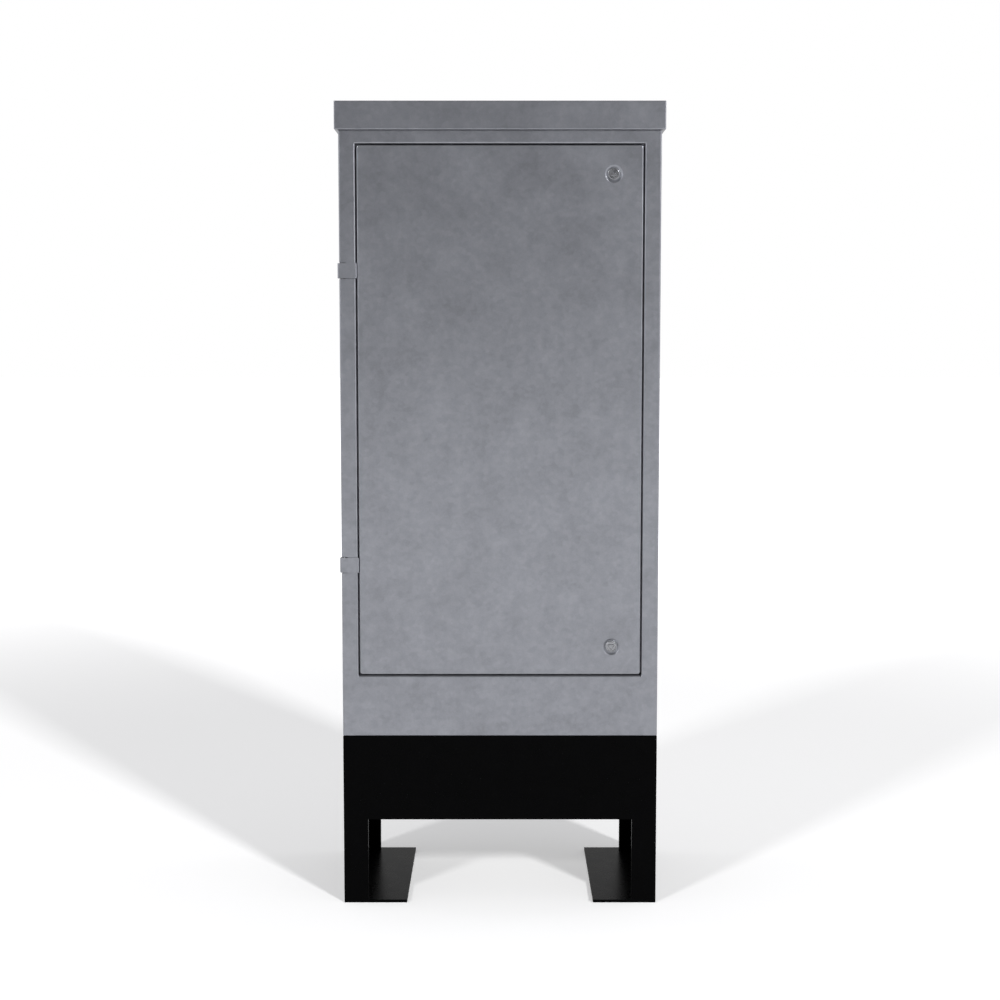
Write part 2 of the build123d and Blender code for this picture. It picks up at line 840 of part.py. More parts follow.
def make_earth_points():
    """The earth studs of the cabinet's right side and of the door."""
    height = aperture_bottom + earth_stud_height
    places = {
        "cabinet": Plane(origin=(half_width - sheet, 0, height), x_dir=(0, 1, 0), z_dir=(-1, 0, 0)),
        "door": Plane(
            origin=(door_left + door_stud_side_inset, door_inner_y, height),
            x_dir=(1, 0, 0),
            z_dir=(0, 1, 0),
        ),
    }
    nodes = {}
    for name, place in places.items():
        stud, washer, nut = make_earth_point()
        nodes[f"{name}_earth_stud"] = place * stud
        nodes[f"{name}_earth_washer"] = place * washer
        nodes[f"{name}_earth_nut"] = place * nut
    return nodes


def make_nodes():
    """Every piece of the pillar by name."""
    nodes = {
        "body_shell": make_body_shell(),
        "rear_panel": make_rear_panel(),
        "roof_hood": make_roof_hood(),
        "root_left_side": make_root_side(-1),
        "root_right_side": make_root_side(1),
        "root_front_panel": make_root_end(-1),
        "root_rear_panel": make_root_end(1),
        "door_panel": make_door_panel(),
        "door_stiffener": make_door_stiffener(),
        "door_seal": make_door_seal(),
        "backboard": make_backboard(),
        "backboard_rail_lower": make_rail(rail_heights[0]),
        "backboard_rail_upper": make_rail(rail_heights[1]),
    }
    nodes.update(make_roof_fixings())
    nodes.update(make_root_fixings())
    nodes.update(make_board_fixings())
    nodes.update(make_earth_points())
    for name, z in hinge_heights.items():
        nodes[f"{name}_hinge_strap"] = make_hinge_strap(z)
        nodes[f"{name}_hinge_bracket"] = make_hinge_bracket(z)
        nodes[f"{name}_hinge_pin"] = make_hinge_pin(z)
    for name, z in lock_heights.items():
        nodes[f"{name}_lock_housing"] = make_lock_housing(z)
        nodes[f"{name}_lock_nut"] = make_lock_nut(z)
        nodes[f"{name}_lock_spindle"] = make_lock_spindle(z, lock_key_turn[name])
        nodes[f"{name}_lock_cam"] = make_lock_cam(z, cam_rest_turn[name])
        nodes[f"{name}_cam_nut"] = make_cam_nut(z)
    return nodes


os.makedirs("parts", exist_ok=True)
for node_name, shape in make_nodes().items():
    export_step(shape, f"parts/{node_name}.step")
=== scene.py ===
"""Looks of the feeder pillar: zinc, root paint, fixings, foam seal, welds, studio and camera.

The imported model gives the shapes. This script gives every node its finish, puts detailed fixings,
the foam strip and the weld beads in, and sets up a plain studio with the camera of the photograph.
"""

import json
import logging
import math
from dataclasses import dataclass, field
from enum import Enum
from typing import Any, Iterable

import bpy
from mathutils import Euler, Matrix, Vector


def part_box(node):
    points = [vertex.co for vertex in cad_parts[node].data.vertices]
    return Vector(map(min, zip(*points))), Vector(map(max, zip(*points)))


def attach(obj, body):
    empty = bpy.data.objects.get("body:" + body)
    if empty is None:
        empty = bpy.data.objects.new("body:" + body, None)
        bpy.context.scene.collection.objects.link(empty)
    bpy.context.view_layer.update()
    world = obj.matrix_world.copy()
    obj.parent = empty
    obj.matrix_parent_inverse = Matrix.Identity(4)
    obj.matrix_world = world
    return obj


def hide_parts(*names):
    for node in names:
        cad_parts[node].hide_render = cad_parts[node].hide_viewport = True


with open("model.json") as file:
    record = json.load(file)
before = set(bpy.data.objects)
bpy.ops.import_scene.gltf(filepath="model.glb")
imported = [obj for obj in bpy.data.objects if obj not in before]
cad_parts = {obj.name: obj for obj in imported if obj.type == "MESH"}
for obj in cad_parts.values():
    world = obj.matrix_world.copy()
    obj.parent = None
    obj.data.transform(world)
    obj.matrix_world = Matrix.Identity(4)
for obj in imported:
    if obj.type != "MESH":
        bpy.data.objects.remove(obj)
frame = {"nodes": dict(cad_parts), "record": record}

logging.basicConfig(level=logging.INFO, format="%(message)s")
log = logging.getLogger("feeder_pillar")

MM = 0.001

Colour = tuple[float, float, float]
Point = tuple[float, float, float]
Range = tuple[float, float]
Run = tuple[Point, Point]
Socket = bpy.types.NodeSocket

UNIT: Range = (0.0, 1.0)
CENTRED: Range = (-0.5, 0.5)
# Nearly all of a noise lies in this part of its range.
NOISE_SPAN: Range = (0.3, 0.7)
# A hole is this much wider than its thread in radius, in millimetres.
THREAD_PLAY = 0.1


class Body(Enum):
    """The bodies that a piece can ride on."""

    PILLAR = "pillar"
    DOOR = "door"
    UPPER_LOCK = "upper_lock"
    LOWER_LOCK = "lower_lock"


class Slot(Enum):
    """The record's material slots."""

    ZINC = "galvanised_steel"
    PAINT = "black_root_paint"
    PLYWOOD = "plywood"
    FOAM = "seal_foam"
    FIXING = "zinc_fasteners"
    LOCK = "lock_steel"


class Facing(Enum):
    """The way that a fixing's head looks, as the turn from straight up."""

    UP = (0.0, 0.0, 0.0)
    DOWN = (math.pi, 0.0, 0.0)
    FRONT = (math.pi / 2, 0.0, 0.0)
    BACK = (-math.pi / 2, 0.0, 0.0)
    LEFT = (0.0, -math.pi / 2, 0.0)


class Mixed(Enum):
    """What a Mix node mixes, with the numbers of its first value's input and of its output."""

    NUMBERS = ("FLOAT", 2, 0)
    COLOURS = ("RGBA", 6, 2)


def show(name: str, data: bpy.types.ID) -> bpy.types.Object:
    """Put a mesh, lamp or camera into the scene.

    Args:
        name: the new object's name.
        data: what the object holds.

    Returns:
        The object, at the origin.
    """
    holder = bpy.data.objects.new(name, data)
    bpy.context.scene.collection.objects.link(holder)
    return holder


# Node trees


class Tree:
    """A node tree with short calls to add, set and join nodes."""

    def __init__(self, tree: bpy.types.NodeTree) -> None:
        """Take over an empty tree."""
        self.tree = tree

    def add(
        self,
        kind: str,
        inputs: dict[str | int, Any] | None = None,
        **settings: Any,
    ) -> bpy.types.Node:
        """Add one node.

        Args:
            kind: the node's type name.
            inputs: a value, or an output socket to join, for each input by its name or number.
            settings: the node's own properties.

        Returns:
            The new node.
        """
        node = self.tree.nodes.new(kind)
        for name, value in settings.items():
            setattr(node, name, value)
        for key, value in (inputs or {}).items():
            self.feed(node.inputs[key], value)
        return node

    def feed(self, socket: Socket, value: Any) -> None:
        """Fill an input.

        Args:
            socket: the input.
            value: an output socket to join to it, or the value to set. A colour gets full cover.
        """
        if isinstance(value, Socket):
            self.tree.links.new(value, socket)
        else:
            socket.default_value = (*value, 1.0) if socket.type == "RGBA" else value

    def maths(self, operation: str, first: Any, second: Any = 0.0) -> Socket:
        """One sum of two numbers or sockets."""
        return self.add("ShaderNodeMath", {0: first, 1: second}, operation=operation).outputs[0]


class ShaderTree(Tree):
    """A material's or world's node tree, with the sums that the finishes share."""

    def vectors(self, operation: str, *values: Any) -> Socket:
        """One sum of two or three vectors or sockets."""
        inputs = dict(enumerate(values))
        return self.add("ShaderNodeVectorMath", inputs, operation=operation).outputs[0]

    def remap(self, value: Any, source: Range, target: Range, smooth: bool = False) -> Socket:
        """Map a range of numbers to another.

        Args:
            value: the number or socket to map.
            source: the range it has.
            target: the range it gets.
            smooth: ease in and out instead of a straight line.

        Returns:
            The mapped output.
        """
        node = self.add(
            "ShaderNodeMapRange",
            {0: value, 1: source[0], 2: source[1], 3: target[0], 4: target[1]},
            interpolation_type="SMOOTHSTEP" if smooth else "LINEAR",
        )
        return node.outputs[0]

    def blend(self, kind: Mixed, factor: Any, first: Any, second: Any) -> Socket:
        """Mix two colours or two numbers.

        Args:
            kind: what is mixed.
            factor: 0 for the first, 1 for the second.
            first: the first value or socket.
            second: the second value or socket.

        Returns:
            The mixed output.
        """
        data_type, start, end = kind.value
        inputs = {0: factor, start: first, start + 1: second}
        return self.add("ShaderNodeMix", inputs, data_type=data_type).outputs[end]

    def shade(self, colour: Colour, value: Any) -> Socket:
        """A plain colour, made lighter or darker by a factor."""
        inputs = {0: colour, "Scale": value}
        return self.add("ShaderNodeVectorMath", inputs, operation="SCALE").outputs[0]


class Surface(ShaderTree):
    """A new material with one Principled surface."""

    def __init__(self, name: str) -> None:
        """Make the material and its surface and output nodes."""
        self.material = bpy.data.materials.new(name)
        self.material.use_nodes = True
        super().__init__(self.material.node_tree)
        self.tree.nodes.clear()
        self.shader = self.add("ShaderNodeBsdfPrincipled")
        self.add("ShaderNodeOutputMaterial", {"Surface": self.shader.outputs[0]})
        self.place = self.add("ShaderNodeTexCoord").outputs["Object"]

    def set(self, **values: Any) -> None:
        """Set the surface's inputs, by their names with low lines for spaces."""
        for name, value in values.items():
            self.feed(self.shader.inputs[name.replace("_", " ")], value)

    def noise(
        self, scale: float, detail: float = 2.0, rough: float = 0.5, where: Any = None
    ) -> Socket:
        """Even noise from 0 to 1.

        Args:
            scale: lumps in a metre.
            detail: finer layers on top.
            rough: the strength of the finer layers.
            where: the coordinates, or the object's own.

        Returns:
            The noise's output.
        """
        place = self.place if where is None else where
        inputs = {"Vector": place, "Scale": scale, "Detail": detail, "Roughness": rough}
        return self.add("ShaderNodeTexNoise", inputs).outputs[0]

    def bump(self, height: Any, distance: float) -> None:
        """Raise the surface.

        Args:
            height: the height's output, from 0 to 1.
            distance: how far 1 raises it, in metres.
        """
        inputs = {"Strength": 1.0, "Distance": distance, "Height": height}
        self.set(Normal=self.add("ShaderNodeBump", inputs).outputs[0])


# Finishes. Every pattern lies on the object's own coordinates.


@dataclass(frozen=True)
class ZincFinish:
    """Hot-dip zinc on sheet: small flakes, soft cloudy patches, a satin shine.

    Scales are lumps in a metre, depths are shares of the colour, and lengths are in metres.
    """

    name: str = "hot_dip_zinc"
    base: Colour = (0.238, 0.245, 0.269)
    metallic: float = 0.80
    roughness: float = 0.30
    gloss_swing: float = 0.008
    cloud_scale: float = 11.0
    cloud_depth: float = 0.15
    patch_scale: float = 49.5
    patch_depth: float = 0.10
    flake_scale: float = 120.0
    flake_depth: float = 0.11
    flake_softness: float = 0.6
    wander_scale: float = 260.0
    wander: float = 0.0016
    speck_scale: float = 420.0
    speck_depth: float = 0.06
    speck_height: float = 0.3
    ripple: float = 0.00001

    def flake(self, paper: Surface) -> Socket:
        """Small flakes with uneven, soft edges.

        Args:
            paper: the material's surface.

        Returns:
            The flakes' tone, from 0 to 1.
        """
        inputs = {"Vector": paper.place, "Scale": self.wander_scale, "Detail": 2.0}
        drift = paper.add("ShaderNodeTexNoise", inputs)
        offset = paper.vectors("SUBTRACT", drift.outputs[1], (0.5, 0.5, 0.5))
        moved = paper.vectors("MULTIPLY_ADD", offset, (self.wander,) * 3, paper.place)
        flakes = paper.add(
            "ShaderNodeTexVoronoi",
            {"Vector": moved, "Scale": self.flake_scale, "Smoothness": self.flake_softness},
            feature="SMOOTH_F1",
        )
        return paper.add("ShaderNodeSeparateColor", {0: flakes.outputs["Color"]}).outputs[0]

    def material(self) -> bpy.types.Material:
        """Build the material.

        Returns:
            The material.
        """
        paper = Surface(self.name)
        flake = self.flake(paper)
        cloud = paper.noise(self.cloud_scale, detail=4.0, rough=0.6)
        patch = paper.noise(self.patch_scale, detail=3.0)
        speck = paper.noise(self.speck_scale, detail=1.0)
        shade: Any = 1.0
        for pattern, span, depth in (
            (flake, UNIT, self.flake_depth),
            (cloud, NOISE_SPAN, self.cloud_depth),
            (patch, NOISE_SPAN, self.patch_depth),
            (speck, NOISE_SPAN, self.speck_depth),
        ):
            tone = paper.remap(pattern, span, (-depth / 2, depth / 2))
            shade = paper.maths("ADD", shade, tone)
        gloss = (self.roughness - self.gloss_swing, self.roughness + self.gloss_swing)
        shine = paper.remap(cloud, NOISE_SPAN, gloss)
        paper.set(
            Base_Color=paper.shade(self.base, shade), Metallic=self.metallic, Roughness=shine
        )
        relief = paper.maths("MULTIPLY", speck, self.speck_height)
        paper.bump(paper.maths("ADD", patch, relief), self.ripple)
        return paper.material


@dataclass(frozen=True)
class PaintFinish:
    """Black satin paint on the root, with a faint orange peel."""

    name: str = "root_black"
    base: Colour = (0.0007, 0.0007, 0.0008)
    roughness: float = 0.28
    gloss_swing: float = 0.02
    specular: float = 0.025
    dust_scale: float = 35.0
    dust_shade: Range = (0.8, 1.25)
    peel_scale: float = 700.0
    peel_height: float = 0.000006

    def material(self) -> bpy.types.Material:
        """Build the material.

        Returns:
            The material.
        """
        paper = Surface(self.name)
        dust = paper.noise(self.dust_scale, detail=5.0, rough=0.65)
        gloss = (self.roughness - self.gloss_swing, self.roughness + self.gloss_swing)
        paper.set(
            Base_Color=paper.shade(self.base, paper.remap(dust, NOISE_SPAN, self.dust_shade)),
            Roughness=paper.remap(dust, NOISE_SPAN, gloss),
            Specular_IOR_Level=self.specular,
        )
        paper.bump(paper.noise(self.peel_scale, detail=1.0), self.peel_height)
        return paper.material


@dataclass(frozen=True)
class PlatedFinish:
    """Plated or cast metal: more even than the dipped sheet, with fine marks and faint stains."""

    name: str
    base: Colour
    roughness: float = 0.32
    smoother: float = 0.05
    rougher: float = 0.08
    metallic: float = 0.95
    mark_scale: float = 1400.0
    mark_depth: float = 0.16
    mark_height: float = 0.00001
    stain_scale: float = 90.0

    def material(self) -> bpy.types.Material:
        """Build the material.

        Returns:
            The material.
        """
        paper = Surface(self.name)
        marks = paper.noise(self.mark_scale, detail=2.0)
        stain = paper.noise(self.stain_scale, detail=4.0, rough=0.6)
        tones = [paper.remap(pattern, NOISE_SPAN, CENTRED) for pattern in (marks, stain)]
        tone = paper.maths("ADD", *tones)
        shade = paper.maths("ADD", 1.0, paper.maths("MULTIPLY", tone, self.mark_depth / 2))
        gloss = (self.roughness - self.smoother, self.roughness + self.rougher)
        paper.set(
            Base_Color=paper.shade(self.base, shade),
            Metallic=self.metallic,
            Roughness=paper.remap(stain, NOISE_SPAN, gloss),
        )
        paper.bump(marks, self.mark_height)
        return paper.material


@dataclass(frozen=True)
class PlywoodFinish:
    """Bare birch plywood: long grain on the faces, plies on the edges. Lengths are in metres."""

    name: str = "birch_plywood"
    pale: Colour = (0.60, 0.43, 0.26)
    dark: Colour = (0.36, 0.22, 0.115)
    ply_thickness: float = 0.00138
    ply_edge: Range = (-0.35, 0.35)
    face_turn: Range = (0.55, 0.8)
    bend_scale: float = 3.0
    bend_reach: Point = (5.0, 0.0, 2.0)
    grain_scales: Point = (60.0, 60.0, 2.2)
    grain_span: Range = (0.32, 0.68)
    grain_depth: Range = (0.0, 0.75)
    pore_scales: Point = (1600.0, 1600.0, 90.0)
    pore_depth: float = 0.2
    pore_height: float = 0.5
    relief: float = 0.00008
    roughness: Range = (0.55, 0.7)
    specular: float = 0.35

    def plies(self, paper: Surface) -> tuple[Socket, Socket]:
        """Dark and pale plies through the board's thickness.

        Args:
            paper: the material's surface.

        Returns:
            The plies' tone, and how much the surface shows the board's edge.
        """
        depth = paper.add("ShaderNodeSeparateXYZ", {0: paper.place}).outputs[1]
        wave = paper.maths("SINE", paper.maths("MULTIPLY", depth, math.pi / self.ply_thickness))
        banding = paper.remap(wave, self.ply_edge, UNIT, smooth=True)
        normal = paper.add("ShaderNodeNewGeometry").outputs["Normal"]
        out = paper.add("ShaderNodeSeparateXYZ", {0: normal}).outputs[1]
        return banding, paper.remap(paper.maths("ABSOLUTE", out), self.face_turn, (1.0, 0.0))

    def material(self) -> bpy.types.Material:
        """Build the material.

        Returns:
            The material.
        """
        paper = Surface(self.name)
        bend = paper.noise(self.bend_scale, detail=3.0)
        stretched = paper.vectors("MULTIPLY", paper.place, self.grain_scales)
        bent = paper.vectors("ADD", stretched, paper.shade(self.bend_reach, bend))
        grain = paper.noise(1.0, detail=6.0, rough=0.62, where=bent)
        pore_place = paper.vectors("MULTIPLY", paper.place, self.pore_scales)
        pores = paper.noise(1.0, detail=2.0, where=pore_place)
        banding, edge = self.plies(paper)
        figure = paper.maths(
            "ADD",
            paper.remap(grain, self.grain_span, self.grain_depth),
            paper.maths("MULTIPLY", pores, self.pore_depth),
        )
        tone = paper.blend(Mixed.NUMBERS, edge, figure, banding)
        paper.set(
            Base_Color=paper.blend(Mixed.COLOURS, tone, self.pale, self.dark),
            Roughness=paper.remap(grain, NOISE_SPAN, self.roughness),
            Specular_IOR_Level=self.specular,
        )
        pits = paper.maths("MULTIPLY", pores, self.pore_height)
        paper.bump(paper.maths("ADD", grain, pits), self.relief)
        return paper.material


@dataclass(frozen=True)
class FoamFinish:
    """Black cellular foam of the door's seal."""

    name: str = "seal_foam_black"
    base: Colour = (0.016, 0.016, 0.017)
    roughness: float = 0.9
    specular: float = 0.25
    cell_scale: float = 2600.0
    cell_span: Range = (0.0, 0.7)
    cell_shade: Range = (0.55, 1.5)
    cell_height: float = 0.0001

    def material(self) -> bpy.types.Material:
        """Build the material.

        Returns:
            The material.
        """
        paper = Surface(self.name)
        inputs = {"Vector": paper.place, "Scale": self.cell_scale}
        cells = paper.add("ShaderNodeTexVoronoi", inputs).outputs[0]
        shade = paper.remap(cells, self.cell_span, self.cell_shade)
        paper.set(
            Base_Color=paper.shade(self.base, shade),
            Roughness=self.roughness,
            Specular_IOR_Level=self.specular,
        )
        paper.bump(cells, self.cell_height)
        return paper.material


@dataclass
class Finishes:
    """Every finish of the pillar, built once and kept by slot."""

    zinc: ZincFinish = ZincFinish()
    paint: PaintFinish = PaintFinish()
    plywood: PlywoodFinish = PlywoodFinish()
    foam: FoamFinish = FoamFinish()
    fixing: PlatedFinish = PlatedFinish("bright_zinc_plate", (0.50, 0.50, 0.49))
    lock: PlatedFinish = PlatedFinish("lock_die_cast", (0.28, 0.285, 0.30), roughness=0.26)
    built: dict[Slot, bpy.types.Material] = field(default_factory=dict)

    def build(self) -> None:
        """Build the material of each slot."""
        self.built = {
            Slot.ZINC: self.zinc.material(),
            Slot.PAINT: self.paint.material(),
            Slot.PLYWOOD: self.plywood.material(),
            Slot.FOAM: self.foam.material(),
            Slot.FIXING: self.fixing.material(),
            Slot.LOCK: self.lock.material(),
        }

    def dress(self) -> None:
        """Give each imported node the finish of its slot."""
        for part in frame["record"]["subparts"]:
            node = frame["nodes"][part["node"]]
            for place in node.material_slots:
                place.material = self.built[Slot(part["material_slot"])]
            log.info("dressed %s in %s", part["node"], part["material_slot"])


# Pieces grown with Geometry Nodes


class Grower(Tree):
    """A Geometry Nodes tree that turns a seed mesh into pieces, with named sizes."""

    crease: float = math.radians(32.0)

    def __init__(self, name: str, sizes: dict[str, str]) -> None:
        """Make the tree with its seed, sizes and material as inputs.

        Args:
            name: the tree's name.
            sizes: the socket type of each named size.
        """
        group = bpy.data.node_groups.new(name, "GeometryNodeTree")
        super().__init__(group)
        panel = group.interface
        self.keys: dict[str, str] = {}
        panel.new_socket("Seed", in_out="INPUT", socket_type="NodeSocketGeometry")
        for label, kind in {**sizes, "Finish": "NodeSocketMaterial"}.items():
            socket = panel.new_socket(label, in_out="INPUT", socket_type=kind)
            self.keys[label] = socket.identifier
        panel.new_socket("Piece", in_out="OUTPUT", socket_type="NodeSocketGeometry")
        self.source = self.add("NodeGroupInput")

    def size(self, label: str) -> Socket:
        """The output that carries a named size."""
        return self.source.outputs[label]

    def raised(self, shape: Any, height: Any) -> Socket:
        """A shape moved up its axis."""
        lift = self.add("ShaderNodeCombineXYZ", {2: height}).outputs[0]
        inputs = {"Geometry": shape, "Translation": lift}
        return self.add("GeometryNodeTransform", inputs).outputs[0]

    def rod(self, sides: int, radius: Any, bottom: Any, depth: Any) -> Socket:
        """An upright bar.

        Args:
            sides: how many sides it has.
            radius: the radius over its corners.
            bottom: the height of its lower end.
            depth: its length.

        Returns:
            The bar's output.
        """
        inputs = {"Vertices": sides, "Radius": radius, "Depth": depth}
        bar = self.add("GeometryNodeMeshCylinder", inputs).outputs[0]
        return self.raised(bar, self.maths("ADD", bottom, self.maths("MULTIPLY", depth, 0.5)))

    def shared(self, *solids: Any) -> Socket:
        """What several solids have in common.

        Args:
            solids: the solids' outputs.

        Returns:
            The output of the space that all of them fill.
        """
        node = self.add("GeometryNodeMeshBoolean", operation="INTERSECT", solver="EXACT")
        for solid in solids:
            self.feed(node.inputs[1], solid)
        return node.outputs[0]

    def cut(self, solid: Any, tool: Any) -> Socket:
        """A solid with another one taken away."""
        node = self.add("GeometryNodeMeshBoolean", operation="DIFFERENCE", solver="EXACT")
        for socket, shape in zip(node.inputs, (solid, tool)):
            self.feed(socket, shape)
        return node.outputs[0]

    def join(self, *shapes: Any) -> Socket:
        """Several shapes as one.

        Args:
            shapes: the shapes' outputs.

        Returns:
            The output of all of them.
        """
        node = self.add("GeometryNodeJoinGeometry")
        for shape in shapes:
            self.feed(node.inputs[0], shape)
        return node.outputs[0]

    def finish(self, shape: Any) -> None:
        """End the tree: real copies, the finish, the output.

        Args:
            shape: the output that holds the whole piece.
        """
        real = self.add("GeometryNodeRealizeInstances", {0: shape}).outputs[0]
        inputs = {"Geometry": real, "Material": self.size("Finish")}
        dressed = self.add("GeometryNodeSetMaterial", inputs).outputs[0]
        self.add("NodeGroupOutput", {0: dressed})

    def grow(
        self,
        name: str,
        points: list[Point],
        edges: list[tuple[int, int]],
        sizes: dict[str, Any],
        finish: bpy.types.Material,
    ) -> bpy.types.Object:
        """Grow one piece and keep it as a plain mesh.

        Args:
            name: the piece's name.
            points: the seed's points, in metres.
            edges: the seed's edges, as pairs of point numbers.
            sizes: a value for each named size, with lengths in metres.
            finish: the piece's material.

        Returns:
            The piece, at the origin, without a modifier.
        """
        seed = bpy.data.meshes.new(name + "_seed")
        seed.from_pydata(points, edges, [])
        piece = show(name, seed)
        modifier = piece.modifiers.new("grow", "NODES")
        modifier.node_group = self.tree
        for label, value in {**sizes, "Finish": finish}.items():
            modifier[self.keys[label]] = value
        graph = bpy.context.evaluated_depsgraph_get()
        mesh = bpy.data.meshes.new_from_object(piece.evaluated_get(graph), depsgraph=graph)
        piece.modifiers.remove(modifier)
        piece.data = mesh
        mesh.name = name
        mesh.shade_smooth()
        mesh.set_sharp_from_angle(angle=self.crease)
        return piece


class FixingGrower(Grower):
    """A fixing that stands on the ground of its tree and is turned and copied to each seat."""

    tree_name: str = ""
    ending: str = ""
    lengths: tuple[str, ...] = ()
    round_sides: int = 48
    bore_sides: int = 32
    rim_share: float = 0.475
    chamfer_slope: float = 1.732

    def __init__(self) -> None:
        """Make the tree with the fixing's lengths and its turn."""
        sizes = {label: "NodeSocketFloat" for label in self.lengths}
        super().__init__(self.tree_name, {**sizes, "Turn": "NodeSocketVector"})

    def hood(self, top: Any, bottom: Any, height: Any) -> Socket:
        """A round cone of two radii that takes corners off a shape under it."""
        radii = {"Radius Top": top, "Radius Bottom": bottom}
        inputs = {"Vertices": self.round_sides, "Depth": height, **radii}
        return self.add("GeometryNodeMeshCone", inputs).outputs[0]

    def hexagon(self, flats: Any, height: Any, both_ends: bool) -> Socket:
        """A hexagon with its corners turned off.

        Args:
            flats: its width across flats.
            height: its height.
            both_ends: turn the lower corners off as well as the upper ones.

        Returns:
            The hexagon's output.
        """
        rim = self.maths("MULTIPLY", flats, self.rim_share)
        foot = self.maths("ADD", rim, self.maths("MULTIPLY", height, self.chamfer_slope))
        shape = self.rod(6, self.maths("DIVIDE", flats, math.sqrt(3)), 0.0, height)
        hoods = [(rim, foot), (foot, rim)] if both_ends else [(rim, foot)]
        for top, bottom in hoods:
            shape = self.shared(shape, self.hood(top, bottom, height))
        return shape

    def drilled(self, solid: Any, radius: Any, height: Any) -> Socket:
        """A solid with a hole down its axis.

        Args:
            solid: the solid's output.
            radius: the hole's radius.
            height: the solid's height.

        Returns:
            The drilled solid's output.
        """
        below = self.maths("MULTIPLY", height, -0.5)
        through = self.maths("MULTIPLY", height, 2.0)
        return self.cut(solid, self.rod(self.bore_sides, radius, below, through))

    def on_seats(self, shape: Any) -> None:
        """End the tree with a turned copy of the fixing on each point of the seed.

        Args:
            shape: the fixing's output.
        """
        inputs = {"Geometry": shape, "Rotation": self.size("Turn")}
        turned = self.add("GeometryNodeTransform", inputs).outputs[0]
        points = self.add("GeometryNodeMeshToPoints", {0: self.size("Seed")}).outputs[0]
        copies = self.add("GeometryNodeInstanceOnPoints", {"Points": points, "Instance": turned})
        self.finish(copies.outputs[0])


class BoltGrower(FixingGrower):
    """Hexagon head with a chamfered rim on a threaded shank, or a bare threaded stud."""

    tree_name: str = "threaded_bolt"
    ending: str = "_threaded"
    lengths: tuple[str, ...] = ("Flats", "Head", "Radius", "Length", "Pitch")
    core_sides: int = 28
    turn_steps: int = 20
    ridge_corners: int = 4
    ridge_share: float = 0.49

    def __init__(self) -> None:
        """Build the tree."""
        super().__init__()
        flats, head, radius, length, pitch = (self.size(label) for label in self.lengths)
        cap = self.hexagon(flats, head, both_ends=False)
        core = self.maths("SUBTRACT", radius, self.maths("MULTIPLY", pitch, 0.5))
        below = self.maths("MULTIPLY", length, -1.0)
        shank = self.rod(self.core_sides, core, below, length)
        coil = self.add(
            "GeometryNodeCurveSpiral",
            {
                "Resolution": self.turn_steps,
                "Rotations": self.maths("DIVIDE", length, pitch),
                "Start Radius": core,
                "End Radius": core,
                "Height": self.maths("SUBTRACT", length, pitch),
            },
        )
        crest = self.maths("MULTIPLY", pitch, self.ridge_share)
        inputs = {"Resolution": self.ridge_corners, "Radius": crest}
        ridge = self.add("GeometryNodeCurvePrimitiveCircle", inputs)
        thread = self.add(
            "GeometryNodeCurveToMesh",
            {"Curve": coil.outputs[0], "Profile Curve": ridge.outputs[0], "Fill Caps": True},
        )
        start = self.maths("ADD", below, self.maths("MULTIPLY", pitch, 0.5))
        self.on_seats(self.join(cap, shank, self.raised(thread.outputs[0], start)))


class NutGrower(FixingGrower):
    """Hexagon nut, chamfered on both sides of its rim."""

    tree_name: str = "chamfered_nut"
    ending: str = "_chamfered"
    lengths: tuple[str, ...] = ("Flats", "Height", "Bore")

    def __init__(self) -> None:
        """Build the tree."""
        super().__init__()
        flats, height, bore = (self.size(label) for label in self.lengths)
        self.on_seats(self.drilled(self.hexagon(flats, height, both_ends=True), bore, height))


class WasherGrower(FixingGrower):
    """Flat washer with rolled rims."""

    tree_name: str = "flat_washer"
    ending: str = "_rolled"
    lengths: tuple[str, ...] = ("Outer", "Bore", "Thickness")
    top_share: float = 0.2
    bottom_share: float = 0.6

    def __init__(self) -> None:
        """Build the tree."""
        super().__init__()
        outer, bore, thickness = (self.size(label) for label in self.lengths)
        ring = self.rod(self.round_sides, outer, 0.0, thickness)
        top = self.maths("SUBTRACT", outer, self.maths("MULTIPLY", thickness, self.top_share))
        bottom = self.maths("ADD", outer, self.maths("MULTIPLY", thickness, self.bottom_share))
        disc = self.shared(ring, self.hood(top, bottom, thickness))
        self.on_seats(self.drilled(disc, bore, thickness))


